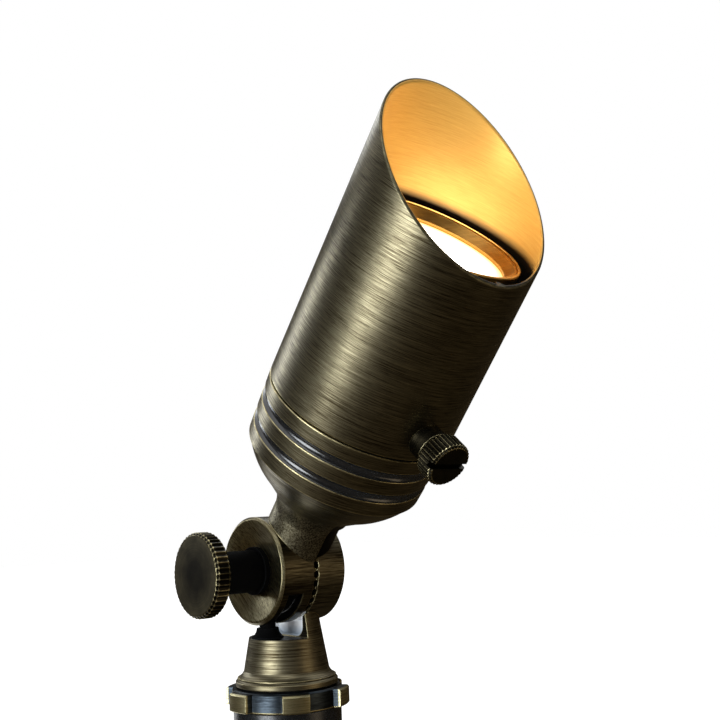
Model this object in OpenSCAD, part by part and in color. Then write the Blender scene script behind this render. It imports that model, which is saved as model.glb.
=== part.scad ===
// Landscape spotlight on a ground stake, with a toothed tilt knuckle and a turning glare shroud.
// Origin on the stake axis at the ground line, Z up, tilt axle along X, head leaning towards -Y.

/* [Stake] */
// Length of the spike below the ground line
spike_len = 200; // [120:5:300]
// Height of the hub above the ground line
hub_h = 42; // [38:1:70]
// Diameter of the hub
hub_d = 36.6; // [34:0.2:48]
// Thickness of each fin of the spike
fin_t = 4.5; // [3:0.5:8]
// Width of the fins at the ground line
fin_w = 33; // [26:1:34]
// Diameter of the cable chamber inside the hub
chamber_d = 24; // [22:0.5:28]
// Thickness of the hub floor
hub_floor = 4; // [2:0.5:5]
// Bore of the grommet in the cable outlet
outlet_d = 6; // [4:0.5:7]
// Wall of the grommet around its bore
grommet_wall = 1.5; // [1:0.25:2]

/* [Lock ring] */
// Height of the lock ring
ring_h = 6.4; // [4:0.2:9]
// Diameter of the ring between its lugs
ring_d = 37.2; // [35:0.2:46]
// Diameter over the lugs
lug_d = 42.4; // [41:0.2:52]
// Width of one lug
lug_w = 9; // [6:0.5:12]
// Number of lugs
lug_count = 6; // [4:1:8]
// Turn of the lugs at rest
lug_turn = 2; // [0:1:30]

/* [Swivel base] */
// Diameter of the threaded spigot
spigot_d = 20.9; // [19:0.1:21.9]
// Length of the spigot below the flange
spigot_len = 22.6; // [16:0.2:28]
// Bore of the spigot for the lead
spigot_bore = 15.6; // [13:0.2:16.4]
// Thickness of the flange
flange_t = 2.5; // [1.5:0.1:4]
// Diameter of the flange
flange_d = 34.7; // [33:0.1:38]
// Thickness of the gasket under the flange
gasket_t = 0.4; // [0.3:0.1:1]
// Height of the cone above the flange
cone_h = 13.3; // [12:0.1:20]
// Diameter of the cone at its flat top
cone_top_d = 25.2; // [24:0.1:28]
// Diameter of the cone where it flares into the flange
cone_low_d = 29; // [28:0.1:31]
// Thickness of the cone's roof
roof_t = 5; // [3:0.5:6]
// Gap between the tilting disc and the cone's top
disc_gap = 4.6; // [3:0.2:6]
// Diameter of the arm at its top, behind the fixed disc
arm_top_d = 21; // [20:0.2:23]
// Depth of the pocket in the arm's inner face
pocket_depth = 4; // [1:0.5:5]
// Wall of the arm beside its pocket
pocket_wall = 2.9; // [2:0.1:5]
// Radius of the pocket's lower corners
pocket_corner = 3.5; // [1:0.5:5]

/* [Tilt knuckle] */
// Diameter of the two discs
disc_d = 36; // [34:0.5:42]
// Thickness of the tilting disc
tilt_disc_t = 12.7; // [12:0.1:15]
// Thickness of the fixed disc
fixed_disc_t = 11.7; // [11:0.1:15]
// Number of teeth in each ring of teeth
tooth_count = 36; // [24:1:40]
// Height of the teeth
tooth_h = 0.8; // [0.4:0.1:1]
// Gap between the tips of the two rings of teeth
tooth_gap = 0.4; // [0.3:0.05:0.8]
// Inner radius of the ring of teeth
tooth_in_r = 10.5; // [10:0.5:12]
// Depth of the dish in the tilting disc
dish_h = 2; // [1:0.1:2.2]
// Tilt of the head from upright at rest
head_tilt = 40; // [0:10:90]

/* [Tilt knob] */
// Diameter of the knob
knob_d = 27.7; // [22:0.1:30]
// Thickness of the knob
knob_t = 5.55; // [4:0.05:8]
// Distance from the tilting disc to the knob
knob_reach = 16.7; // [10:0.1:24]
// Diameter of the knob's hub
knob_hub_d = 14; // [10:0.5:15]
// Number of knurls on the knob
knob_knurls = 48; // [30:1:60]
// Diameter of the threaded shank
shank_d = 8; // [6:0.5:8]
// Thickness of the washer under the hub
washer_t = 1.8; // [1:0.1:2.5]
// Diameter of the washer
washer_d = 16; // [13:0.5:16.4]

/* [Stem] */
// Diameter of the stem
stem_d = 24.4; // [22:0.2:24.8]
// Distance from the tilt axle to the lamp base
stem_len = 31.2; // [29:0.2:40]
// Diameter of the stem where it meets the lamp base
stem_top_d = 29.8; // [27:0.2:30.4]
// Height of the flare under the lamp base
flare_h = 7.2; // [5:0.2:9]
// Depth of the step on the fixed disc's side of the stem
step_in = 0.9; // [0.5:0.1:1.5]
// Distance from the step's end to the lamp base
step_end = 4.2; // [3:0.2:7]
// Diameter of the stem's threaded spigot
neck_d = 16; // [14.5:0.5:18]
// Bore of the stem's spigot
neck_bore = 8.4; // [7:0.2:10]
// Width across flats of the nut on the spigot
nut_af = 22; // [20:0.5:24]
// Thickness of that nut
nut_t = 5; // [3:0.5:6]

/* [Lamp base] */
// Diameter at the bottom of the collar
collar_low_d = 31; // [30.6:0.2:33]
// Diameter at the top of the collar
collar_top_d = 41.6; // [38:0.2:46]
// Height of the collar
collar_h = 5.2; // [3:0.2:8]
// Height of the bell above the collar
bell_h = 9.4; // [7:0.2:14]
// Crown of the bell's curve
bell_crown = 0.65; // [0.2:0.05:1.5]
// Step in from the shroud's radius to the edge on top of the bell
bell_in = 2.1; // [1.2:0.1:4]
// Height of the chamfer from that edge to the lowest band
shoulder_h = 1.7; // [1:0.1:3]
// Height of each of the three bands
band_h = 4.8; // [4:0.1:7]
// Width of the two grooves
groove_w = 3.4; // [2:0.1:4]
// Depth of the two grooves
groove_depth = 1.3; // [0.6:0.1:1.5]
// Step in from the shroud's radius to the foot of the lowest band
band_in = 0.9; // [0.1:0.1:1.1]
// Thickness of the floor of the lamp base
floor_t = 6.7; // [4:0.1:8]

/* [Shroud] */
// Outer diameter of the shroud
shroud_d = 62; // [62:0.2:66]
// Wall of the shroud
shroud_wall = 1.2; // [1:0.1:1.6]
// Gap at the seam between shroud and lamp base
seam_gap = 0.6; // [0.3:0.1:1.5]
// Length of the shroud on its axis
shroud_len = 78.8; // [70:0.2:120]
// Slope of the rim against the head's axis
rim_slope = 31.4; // [0:0.1:40]
// Height of the neck inside the shroud
collar_neck_h = 13.2; // [12:0.2:16]

/* [Thumbscrew] */
// Distance from the seam to the screw's axis
screw_up = 7.6; // [6.6:0.1:8]
// Diameter of the screw's head
screw_d = 14.7; // [10:0.1:18]
// Length of the screw's head
screw_head_l = 7.5; // [6:0.1:14]
// Diameter of the screw's shank
screw_shank_d = 5.9; // [4:0.1:6]
// Number of knurls on the screw's head
screw_knurls = 36; // [24:1:48]
// Width of the screwdriver slot
slot_w = 1.7; // [1:0.1:2.5]
// Depth of the screwdriver slot
slot_depth = 2; // [1:0.1:3]
// Diameter of the boss around the screw
boss_d = 11.2; // [9:0.2:14]
// Height of the boss above the shroud
boss_h = 5; // [1:0.1:6]

/* [Lamp housing] */
// Length of the inner cup
cup_len = 65; // [65:0.2:72]
// Wall of the neck between the shroud and the inner cup
neck_wall = 2.7; // [2.6:0.1:3.2]
// Wall of the inner cup
cup_wall = 1.6; // [1.5:0.05:1.7]
// Wall of the cup above the lens shoulder
cup_lip = 0.9; // [0.6:0.05:1.1]
// Thickness of the lens
lens_t = 2.6; // [2:0.1:3]
// Thickness of each flat gasket on the cup
seal_t = 1; // [0.6:0.1:1.2]
// Depth of the lens face below the cup's rim
lens_sink = 4.5; // [4:0.1:6]
// Width of the lens ring's lip over the lens
lens_lip = 3; // [2.2:0.1:5]
// Gap between the lamp's rim and the inner cup
lamp_side = 0.4; // [0.3:0.1:1]
// Gap between the lamp's face and the lens gasket
lamp_gap = 3; // [1:0.2:5]
// Spacing of the lamp's two pins
pin_pitch = 5.3; // [4:0.1:6.4]
// Diameter of the pins
pin_d = 1.55; // [1:0.05:2]
// Height of the lamp socket
socket_h = 13.4; // [11:0.2:15]
// Diameter of the lead that the knuckle carries
lead_d = 5.5; // [4:0.1:5.6]

/* [Finish] */
// Colour of the antique bronze castings
bronze = "#5b4b30"; // [#5b4b30, #3d3324, #7a6a3f]
// Colour of the brushed bronze tube and ring
brushed = "#6d5c39"; // [#6d5c39, #4a4232, #8a7a48]
// Colour of bare worn brass
brass = "#a8925a"; // [#a8925a, #cfc08a, #8a7a48]
// Colour of the black plastic and rubber
black = "#17181a"; // [#17181a, #22262c, #101010]
// Colour of the lamp's casting
lamp_grey = "#8b8d90"; // [#8b8d90, #c8c8c8, #606468]
// Colour of the lens
glass = "#dfe8ea"; // [#dfe8ea, #ffffff, #cfd8da]

/* [Hidden] */
$fn = 96;
// Steps around the section of a cord or lead
cord_fn = 32;
// Running clearance between a shaft and its bore, on the radius
run = 0.05;
// Clearance between pieces that only lie against each other
seat = 0.05;
// Clearance between surfaces that pass each other
pass = 0.4;
// Overlap of a shape with what it is joined to
sink = 0.1;
// Overshoot of a cutting shape
cut = 1;
// Small edge break
edge = 0.3;
// Larger edge break on turned pieces
turned_edge = 0.8;
// Steps in a curved stretch of an outline
arc_steps = 10;

// Stack of heights on the stake axis
ring_z = hub_h + seat;
gasket_z = ring_z + ring_h + seat;
flange_z = gasket_z + gasket_t;
cone_z = flange_z + flange_t;
cone_top_z = cone_z + cone_h;
pivot_z = cone_top_z + disc_gap + disc_d / 2;
spigot_r = spigot_d / 2;
hub_bore_r = spigot_r + run;
socket_depth = spigot_len - (flange_z - hub_h) + seat;
flare_foot_h = 2.6;
flare_crown = 0.35;
cone_groove = 0.6;
cone_wall = 3.6;
cavity_r = cone_low_d / 2 - cone_wall;
cavity_h = 10;
arm_top_z = pivot_z - tooth_in_r;
pocket_lift = 0.3;
gasket_in = 0.8;
gasket_clear = 0.2;
ring_bevel = 0.6;

// Cable outlet on the rear of the hub
outlet_up = 7;
outlet_z = hub_floor + outlet_up;
outlet_r = outlet_d / 2 + grommet_wall;
outlet_flat = 1.3;
outlet_lip = 1.8;
outlet_flange_r = outlet_r + outlet_lip;
outlet_flange_t = 1.6;
outlet_clear = 0.5;

// Spike
spike_steps = [[0, 1], [0.1, 0.94], [0.3, 0.8], [0.92, 0.16], [1, 0]];

// Knuckle, along the tilt axle
disc_r = disc_d / 2;
parting_x = 0.3;
tilt_face_x = parting_x - tooth_gap / 2 - tooth_h;
fixed_face_x = parting_x + tooth_gap / 2 + tooth_h;
arm_step = 0.3;
arm_face_x = parting_x - arm_step;
tilt_out_x = tilt_face_x - tilt_disc_t;
fixed_out_x = fixed_face_x + fixed_disc_t;
shank_r = shank_d / 2;
shank_bore_r = shank_r + run;
dish_rim = 1.4;
dish_rim_r = disc_r - dish_rim;
dish_seat_r = washer_d / 2 + pass;
tooth_root_w = 1.7;
tooth_tip_w = 0.6;
tooth_edge = 0.1;
hex_af = 13;
hex_t = 6;
hex_sink = 0.5;
hex_x = fixed_out_x - hex_t - hex_sink;
shank_short = 2;
shank_end_x = fixed_out_x - shank_short;

// Lead way inside the tilting disc
lead_r = lead_d / 2;
way_clear = 0.3;
way_r = lead_r + way_clear;
way_wall = 3.4;
way_x = tilt_face_x - way_wall - way_r;
way_side = way_r + 2 * seat;
way_core = 2.4;
way_in_r = shank_bore_r + way_core;
way_skin = 3.2;
way_out_r = disc_r - way_skin;
way_turn_angle = 182;
lead_y = 0.5;
way_open = way_turn_angle + 2 * asin((way_r + lead_y) / way_out_r);
lead_off = norm([way_x, lead_y]);
lead_turn = atan2(lead_y, way_x);
lead_bend_r = 22;
bend_a = acos(1 - lead_off / (2 * lead_bend_r));
bend_h = 2 * lead_bend_r * sin(bend_a);
lead_in = 2.4;
lead_top_z = pivot_z - disc_r + lead_in;
bend_down = 2;
bend_top_z = cone_top_z - bend_down;
bend_low_z = bend_top_z - bend_h;
lead_end_z = flange_z - spigot_len;
bush_low_r = 5.4;
bush_top_r = 3.7;
bush_gap = 1.3;
bush_h = disc_gap - bush_gap;
bush_hollow = 0.4;

// Stem, along the head's axis
stem_r = stem_d / 2;
stem_root = disc_r * 0.75;
stem_crown = 0.45;
step_s = stem_len - step_end;
neck_r = neck_d / 2;
neck_len = 12.6;
oring_d = 1.5;
oring_r = (neck_r + stem_top_d / 2) / 2;
lead_over = 2;
way_low_s = way_in_r + lead_over + edge;
head_bend_r = 16;
head_bend_a = acos(1 + way_x / (2 * head_bend_r));
head_bend_h = 2 * head_bend_r * sin(head_bend_a);
head_bend_s = way_low_s + lead_over;
lead_end_s = stem_len + neck_len + lead_over;

// Lamp base, along the head's axis
base_s = stem_len + seat;
collar_s = base_s + collar_h;
bell_s = collar_s + bell_h;
band_s = bell_s + shoulder_h;
band_pitch = band_h + groove_w;
seam_s = band_s + 2 * band_pitch + band_h;
band_top_r = shroud_d / 2;
band_low_r = band_top_r - band_in;
bell_top_r = band_top_r - bell_in;
band_draft = band_in / (seam_s - band_s);
floor_s = base_s + floor_t;
well_h = 20;
ledge_s = floor_s + well_h;
well_r = 15;
shroud_s = seam_s + seam_gap;
shroud_r = shroud_d / 2;
shroud_in_r = shroud_r - shroud_wall;
collar_neck_r = shroud_in_r - pass;
neck_bore_r = collar_neck_r - neck_wall;
cup_r = neck_bore_r - 2 * seat;
cup_ledge_w = 4.7;
chamber_r = neck_bore_r - cup_ledge_w;
ledge_h = 6;
cup_seat_s = ledge_s + ledge_h;
neck_top_s = seam_s + collar_neck_h;
ring_groove_up = 2.2;
ring_groove_s = seam_s + ring_groove_up;
ring_groove_w = 2.4;
ring_groove_depth = 1.5;
ring_cord_d = 1.7;

// Thumbscrew, out of the shroud's low side
screw_s = shroud_s + screw_up;
screw_shank_r = screw_shank_d / 2;
screw_tip_r = collar_neck_r + 2 * seat;
boss_top_r = shroud_r + boss_h;
screw_lift = 0.3;
screw_head_r = boss_top_r + screw_lift;
screw_face_r = screw_head_r + screw_head_l;
knurl_depth = 0.45;
rim_stop_r = 1.5;

// Lamp housing, along the head's axis
cup_s = cup_seat_s + seal_t + seat;
cup_top_s = cup_s + cup_len;
lens_top_s = cup_top_s - lens_sink;
lens_s = lens_top_s - lens_t;
shoulder_s = lens_s - seal_t - 2 * seat;
cup_in_r = cup_r - cup_wall;
cup_lip_r = cup_r - cup_lip;
lens_clear = 0.2;
lens_r = cup_lip_r - lens_clear;
lens_open_r = lens_r - lens_lip + lens_clear;
ring_sink = 0.5;
ring_top_s = cup_top_s - ring_sink;
ring_face_w = 1;
ring_step = 1;
lamp_r = cup_in_r - lamp_side;
lamp_top_s = shoulder_s - lamp_gap;
lamp_fins = 16;
lamp_rim_t = 1.6;
lamp_face_in = 2;
pin_r = pin_d / 2;
pin_len = 7;
pin_sink = 2;
plate_t = 1.2;
plate_s = ledge_s + seat;
socket_s = plate_s + plate_t + seat;
socket_clear = 0.15;
lamp_s = socket_s + socket_h + socket_clear;
socket_w = 17;
socket_t = 11;
plate_screw_r = 1.5;
plate_screw_head_r = 2.8;
plate_screw_clear = 0.7;
plate_screw_at = chamber_r - plate_screw_head_r - plate_screw_clear;
screw_hole_l = 6;
wire_r = 0.95;
wire_at = 1.7;

// Arc from p to q in n steps; it bulges by h to the left of the way from p to q
function bow(p, q, h, n) =
    let (
        d = q - p,
        l = norm(d),
        u = [-d[1], d[0]] / l,
        r = (l * l / 4 + h * h) / (2 * h),
        c = (p + q) / 2 + u * (h - r),
        w = 4 * atan(2 * h / l),
        v = p - c
    )
    [for (i = [0 : n])
        let (a = -w * i / n)
        c + [v[0] * cos(a) - v[1] * sin(a), v[0] * sin(a) + v[1] * cos(a)]];

// Outline of a straight knurl with n ridges
function knurl_points(r, depth, n) =
    [for (i = [0 : 2 * n - 1])
        let (k = i % 2 == 0 ? r : r - depth, a = 180 * i / n)
        [k * cos(a), k * sin(a)]];

// Radius of the bands at the place s on the head's axis
function band_r(s) = band_low_r + (s - band_s) * band_draft;

// Frame of the tilt axle: local Z runs along +X
module on_axle() {
    translate([0, 0, pivot_z]) rotate([0, 90, 0]) children();
}

// Frame of the head: local Z runs out of the lamp, local Y points to its upper side
module on_head() {
    translate([0, 0, pivot_z]) rotate([head_tilt, 0, 0]) children();
}

// Frame of the thumbscrew: local Z runs out of the head's low side
module on_screw() {
    on_head() translate([0, 0, screw_s]) rotate([90, 0, 0]) children();
}

// Frame of the cable outlet: local Z runs out of the hub's rear
module on_outlet() {
    translate([0, 0, outlet_z]) rotate([-90, 0, 0]) children();
}

module tube(r_out, r_in, z0, z1) {
    translate([0, 0, z0]) difference() {
        cylinder(r = r_out, h = z1 - z0);
        translate([0, 0, -cut]) cylinder(r = r_in, h = z1 - z0 + 2 * cut);
    }
}

module turned(points) {
    rotate_extrude() polygon(points);
}

module torus(ring_r, cord_r) {
    rotate_extrude() translate([ring_r, 0]) circle(r = cord_r, $fn = cord_fn);
}

// Half of an S bend: starts at the origin going up and curves towards +X
module half_bend(r, a, rod_r) {
    translate([r, 0, 0]) mirror([1, 0, 0]) rotate([90, 0, 0])
        rotate_extrude(angle = a) translate([r, 0]) circle(r = rod_r, $fn = cord_fn);
}

// S bend that starts at the origin going up and ends going up, off to +X
module s_bend(r, a, off, rod_r) {
    half_bend(r, a, rod_r);
    translate([off, 0, 2 * r * sin(a)]) rotate([0, 180, 0]) half_bend(r, a, rod_r);
}

// Ring of radial teeth standing on the plane z = 0
module tooth_ring() {
    half_root = tooth_root_w / 2;
    half_tip = tooth_tip_w / 2;
    for (i = [0 : tooth_count - 1])
        rotate([0, 0, 360 * i / tooth_count])
            translate([tooth_in_r, 0, 0])
                rotate([90, 0, 90])
                    linear_extrude(disc_r - tooth_in_r - tooth_edge)
                        polygon([[-half_root, -sink], [half_root, -sink], [half_tip, tooth_h],
                            [-half_tip, tooth_h]]);
}

module spike_fin() {
    right = [for (p = spike_steps) [fin_w / 2 * p[1], -spike_len * p[0]]];
    left = [for (i = [len(right) - 2 : -1 : 0]) [-right[i][0], right[i][1]]];
    top = [[-fin_w / 2, hub_floor / 2], [fin_w / 2, hub_floor / 2]];
    rotate([90, 0, 0]) translate([0, 0, -fin_t / 2]) linear_extrude(fin_t) polygon(concat(top, right, left));
}

module ground_stake() {
    hub_r = hub_d / 2;
    color(black) difference() {
        union() {
            turned([[0, 0], [hub_r - turned_edge, 0], [hub_r, turned_edge], [hub_r, hub_h - edge],
                [hub_r - edge, hub_h], [0, hub_h]]);
            spike_fin();
            rotate([0, 0, 90]) spike_fin();
        }
        translate([0, 0, hub_h - socket_depth]) cylinder(r = hub_bore_r, h = socket_depth + cut);
        translate([0, 0, hub_floor]) cylinder(d = chamber_d, h = hub_h - hub_floor - socket_depth);
        on_outlet() {
            cylinder(r = outlet_r + seat, h = hub_r + cut);
            translate([0, 0, hub_r - outlet_flat])
                cylinder(r = outlet_flange_r + way_clear, h = outlet_flat + cut);
        }
    }
}

module cable_grommet() {
    out = hub_d / 2 - outlet_flat + seat;
    inner = chamber_d / 2 + outlet_clear;
    color(black) on_outlet() turned([[outlet_d / 2, inner], [outlet_r, inner], [outlet_r, out],
        [outlet_flange_r, out], [outlet_flange_r, out + outlet_flange_t - edge],
        [outlet_flange_r - edge, out + outlet_flange_t], [outlet_d / 2, out + outlet_flange_t]]);
}

module lock_ring() {
    ring_r = ring_d / 2;
    bore_r = spigot_r + run;
    color(brass) translate([0, 0, ring_z]) difference() {
        union() {
            turned([[bore_r - cut, 0], [ring_r - edge, 0], [ring_r, edge], [ring_r, ring_h - ring_bevel],
                [ring_r - ring_bevel, ring_h], [bore_r - cut, ring_h]]);
            intersection() {
                turned([[0, edge], [lug_d / 2 - edge, edge], [lug_d / 2, 2 * edge],
                    [lug_d / 2, ring_h - edge - ring_bevel], [lug_d / 2 - ring_bevel, ring_h - edge],
                    [0, ring_h - edge]]);
                for (i = [0 : lug_count - 1])
                    rotate([0, 0, lug_turn + 360 * i / lug_count])
                        translate([ring_r / 2, -lug_w / 2, 0]) cube([lug_d, lug_w, ring_h]);
            }
        }
        translate([0, 0, -cut]) cylinder(r = bore_r, h = ring_h + 2 * cut);
    }
}

// Lead way through the roof of the cone
module lead_way() {
    rotate([0, 0, lead_turn]) {
        translate([lead_off, 0, cone_top_z - roof_t - cut]) cylinder(r = way_r, h = roof_t + 2 * cut);
        translate([0, 0, bend_low_z]) s_bend(lead_bend_r, bend_a, lead_off, way_r);
    }
}

// Pocket in the arm's inner face, with round lower corners
module arm_pocket() {
    half_w = cone_top_d / 2 - pocket_wall;
    low_z = cone_top_z + pocket_lift;
    centre = [half_w - pocket_corner, low_z + pocket_corner];
    corner = [for (i = [0 : arc_steps])
        let (a = 90 * i / arc_steps - 90)
        centre + pocket_corner * [cos(a), sin(a)]];
    right = concat(corner, [[half_w, arm_top_z + cut]]);
    left = [for (i = [len(right) - 1 : -1 : 0]) [-right[i][0], right[i][1]]];
    translate([arm_face_x - cut, 0, 0]) rotate([90, 0, 90])
        linear_extrude(pocket_depth + cut) polygon(concat(right, left));
}

module knuckle_base() {
    flange_r = flange_d / 2;
    low_r = cone_low_d / 2;
    spigot_z = flange_z - spigot_len;
    foot_r = flange_r - cone_groove;
    color(bronze) difference() {
        union() {
            difference() {
                turned(concat(
                    [[0, spigot_z], [spigot_r - edge, spigot_z], [spigot_r, spigot_z + edge],
                        [spigot_r, flange_z], [flange_r - edge, flange_z], [flange_r, flange_z + edge],
                        [flange_r, cone_z - turned_edge], [flange_r - turned_edge, cone_z]],
                    [[foot_r - cone_groove, cone_z], [foot_r - cone_groove, cone_z + edge]],
                    bow([foot_r, cone_z + edge], [low_r, cone_z + flare_foot_h], flare_crown, arc_steps),
                    [[cone_top_d / 2, cone_top_z], [arm_top_d / 2, arm_top_z], [0, arm_top_z]]));
                translate([arm_face_x - flange_d, -flange_r, cone_top_z])
                    cube([flange_d, flange_d, disc_gap + disc_d]);
                on_axle() translate([0, 0, arm_face_x - cut])
                    cylinder(r = disc_r + pass, h = fixed_face_x - arm_face_x + cut);
                arm_pocket();
            }
            on_axle() {
                turned([[0, fixed_face_x], [disc_r, fixed_face_x], [disc_r, fixed_out_x - turned_edge],
                    [disc_r - turned_edge, fixed_out_x], [0, fixed_out_x]]);
                translate([0, 0, fixed_face_x]) mirror([0, 0, 1]) tooth_ring();
            }
        }
        translate([0, 0, spigot_z - cut]) cylinder(d = spigot_bore, h = cone_top_z - roof_t - spigot_z);
        translate([0, 0, cone_top_z - roof_t - cavity_h]) cylinder(r = cavity_r, h = cavity_h);
        lead_way();
        on_axle() {
            translate([0, 0, fixed_face_x - cut]) cylinder(r = shank_bore_r, h = fixed_disc_t + 2 * cut);
            translate([0, 0, hex_x]) cylinder(d = (hex_af + 2 * seat) / cos(30), h = hex_t + cut, $fn = 6);
        }
    }
}

module flange_gasket() {
    color(black) tube(flange_d / 2 - gasket_in, spigot_r + gasket_clear, gasket_z,
        gasket_z + gasket_t - seat);
}

module lead_bushing() {
    color(black) translate([way_x, lead_y, cone_top_z + seat]) difference() {
        turned(concat([[0, 0], [bush_low_r, 0]],
            bow([bush_low_r, edge], [bush_top_r, bush_h], bush_hollow, arc_steps),
            [[0, bush_h]]));
        translate([0, 0, -cut]) cylinder(r = lead_r + seat, h = bush_h + 2 * cut);
    }
}

module supply_lead() {
    color(black) {
        translate([0, 0, lead_end_z]) cylinder(r = lead_r, h = bend_low_z - lead_end_z);
        rotate([0, 0, lead_turn]) {
            translate([0, 0, bend_low_z]) s_bend(lead_bend_r, bend_a, lead_off, lead_r);
            translate([lead_off, 0, bend_top_z]) cylinder(r = lead_r, h = lead_top_z - bend_top_z);
        }
    }
}

module knuckle_nut() {
    color(brass) on_axle() translate([0, 0, hex_x + seat]) difference() {
        cylinder(d = hex_af / cos(30), h = hex_t - 2 * seat, $fn = 6);
        translate([0, 0, -cut]) cylinder(r = shank_bore_r, h = hex_t + 2 * cut);
    }
}

module knob_washer() {
    face = tilt_out_x + dish_h - seat;
    color(black) on_axle() tube(washer_d / 2, shank_bore_r, face - washer_t, face);
}

module tilt_knob() {
    face = tilt_out_x - knob_reach - knob_t;
    back = face + knob_t;
    hub_x = tilt_out_x + dish_h - 2 * seat - washer_t;
    knob_r = knob_d / 2;
    color(brass) on_axle() {
        intersection() {
            translate([0, 0, face]) linear_extrude(knob_t)
                polygon(knurl_points(knob_r, knurl_depth, knob_knurls));
            turned([[0, face], [knob_r - turned_edge, face], [knob_r + sink, face + turned_edge + sink],
                [knob_r + sink, back - turned_edge - sink], [knob_r - turned_edge, back], [0, back]]);
        }
        translate([0, 0, back]) cylinder(d = knob_hub_d, h = hub_x - back);
        translate([0, 0, hub_x]) cylinder(r = shank_r, h = shank_end_x - hub_x);
    }
}

// Ring-shaped lead way in the tilting disc, open at the rim below the stem
module disc_way() {
    way_w = 2 * way_r;
    on_head() rotate([0, 90, 0]) {
        tube(way_out_r, way_in_r, way_x - way_side, way_x + way_side);
        rotate([0, 0, -way_open / 2])
            translate([0, 0, way_x - way_r]) rotate_extrude(angle = way_open)
                translate([way_out_r - cut, 0]) square([disc_r - way_out_r + 2 * cut, way_w]);
    }
}

module knuckle_head() {
    color(bronze) difference() {
        union() {
            on_head() difference() {
                turned(concat([[0, stem_root], [stem_r, stem_root]],
                    bow([stem_r, stem_len - flare_h], [stem_top_d / 2, stem_len], stem_crown, arc_steps),
                    [[neck_r, stem_len], [neck_r, stem_len + neck_len - edge],
                        [neck_r - edge, stem_len + neck_len], [0, stem_len + neck_len]]));
                translate([tilt_face_x, 0, 0]) rotate([0, 90, 0]) cylinder(r = disc_r + pass, h = disc_d);
                tube(oring_r + oring_d / 2 + seat, oring_r - oring_d / 2 - seat, stem_len - oring_d - seat,
                    stem_len + cut);
                intersection() {
                    tube(stem_top_d / 2 + cut, stem_r - step_in, 0, step_s);
                    translate([tilt_face_x, -disc_r, 0]) cube([disc_d, disc_d, step_s]);
                }
            }
            on_head() rotate([0, 90, 0]) {
                turned([[0, tilt_out_x + dish_h], [dish_seat_r, tilt_out_x + dish_h],
                    [dish_rim_r, tilt_out_x], [disc_r - turned_edge, tilt_out_x],
                    [disc_r, tilt_out_x + turned_edge],
                    [disc_r, tilt_face_x], [0, tilt_face_x]]);
                translate([0, 0, tilt_face_x]) tooth_ring();
            }
        }
        disc_way();
        on_head() {
            rotate([0, 90, 0]) translate([0, 0, tilt_out_x - cut])
                cylinder(r = shank_bore_r, h = tilt_disc_t + 2 * cut);
            translate([way_x, 0, way_in_r]) cylinder(r = way_r, h = head_bend_s - way_in_r);
            translate([0, 0, head_bend_s + head_bend_h]) rotate([180, 0, 0]) mirror([1, 0, 0])
                s_bend(head_bend_r, head_bend_a, -way_x, way_r);
            translate([0, 0, head_bend_s + head_bend_h - sink])
                cylinder(d = neck_bore, h = neck_len + disc_d);
        }
    }
}

module head_lead() {
    color(black) on_head() {
        translate([way_x, 0, way_low_s]) cylinder(r = lead_r, h = head_bend_s - way_low_s);
        translate([0, 0, head_bend_s + head_bend_h]) rotate([180, 0, 0]) mirror([1, 0, 0])
            s_bend(head_bend_r, head_bend_a, -way_x, lead_r);
        translate([0, 0, head_bend_s + head_bend_h])
            cylinder(r = lead_r, h = lead_end_s - head_bend_s - head_bend_h);
    }
}

module stem_oring() {
    color(black) on_head() translate([0, 0, stem_len - oring_d / 2]) torus(oring_r, oring_d / 2);
}

module stem_nut() {
    color(brass) on_head() translate([0, 0, floor_s + seat]) difference() {
        cylinder(d = nut_af / cos(30), h = nut_t, $fn = 6);
        translate([0, 0, -cut]) cylinder(r = neck_r + run, h = nut_t + 2 * cut);
    }
}

module lamp_base() {
    low_r = collar_low_d / 2;
    groove_1 = band_s + band_h;
    groove_2 = groove_1 + band_pitch;
    color(bronze) on_head() difference() {
        turned(concat(
            [[neck_r + run, base_s], [low_r - edge, base_s], [low_r, base_s + edge]],
            bow([collar_top_d / 2, collar_s], [bell_top_r, bell_s], -bell_crown, arc_steps),
            [[band_r(band_s), band_s]],
            bow([band_r(groove_1), groove_1], [band_r(groove_1 + groove_w), groove_1 + groove_w],
                groove_depth, arc_steps),
            bow([band_r(groove_2), groove_2], [band_r(groove_2 + groove_w), groove_2 + groove_w],
                groove_depth, arc_steps),
            [[band_top_r, seam_s - edge], [band_top_r - edge, seam_s], [collar_neck_r, seam_s],
                [collar_neck_r, ring_groove_s], [collar_neck_r - ring_groove_depth, ring_groove_s],
                [collar_neck_r - ring_groove_depth, ring_groove_s + ring_groove_w],
                [collar_neck_r, ring_groove_s + ring_groove_w], [collar_neck_r, neck_top_s - turned_edge],
                [collar_neck_r - turned_edge, neck_top_s], [neck_bore_r, neck_top_s],
                [neck_bore_r, cup_seat_s], [chamber_r, cup_seat_s], [chamber_r, ledge_s],
                [well_r, ledge_s], [well_r, floor_s], [neck_r + run, floor_s]]));
        for (side = [-1, 1])
            translate([side * plate_screw_at, 0, ledge_s - screw_hole_l])
                cylinder(r = plate_screw_r + run, h = screw_hole_l + cut);
    }
}

module shroud_oring() {
    color(black) on_head() translate([0, 0, ring_groove_s + ring_groove_w / 2])
        torus(shroud_in_r - seat - ring_cord_d / 2, ring_cord_d / 2);
}

module cup_gasket() {
    color(black) on_head() tube(cup_r, cup_in_r - 2 * edge, cup_seat_s, cup_seat_s + seal_t);
}

module inner_cup() {
    color(brushed) on_head() turned([[cup_in_r, cup_s], [cup_r, cup_s], [cup_r, cup_top_s - edge],
        [cup_r - edge, cup_top_s], [cup_lip_r, cup_top_s], [cup_lip_r, shoulder_s], [cup_in_r, shoulder_s]]);
}

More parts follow.
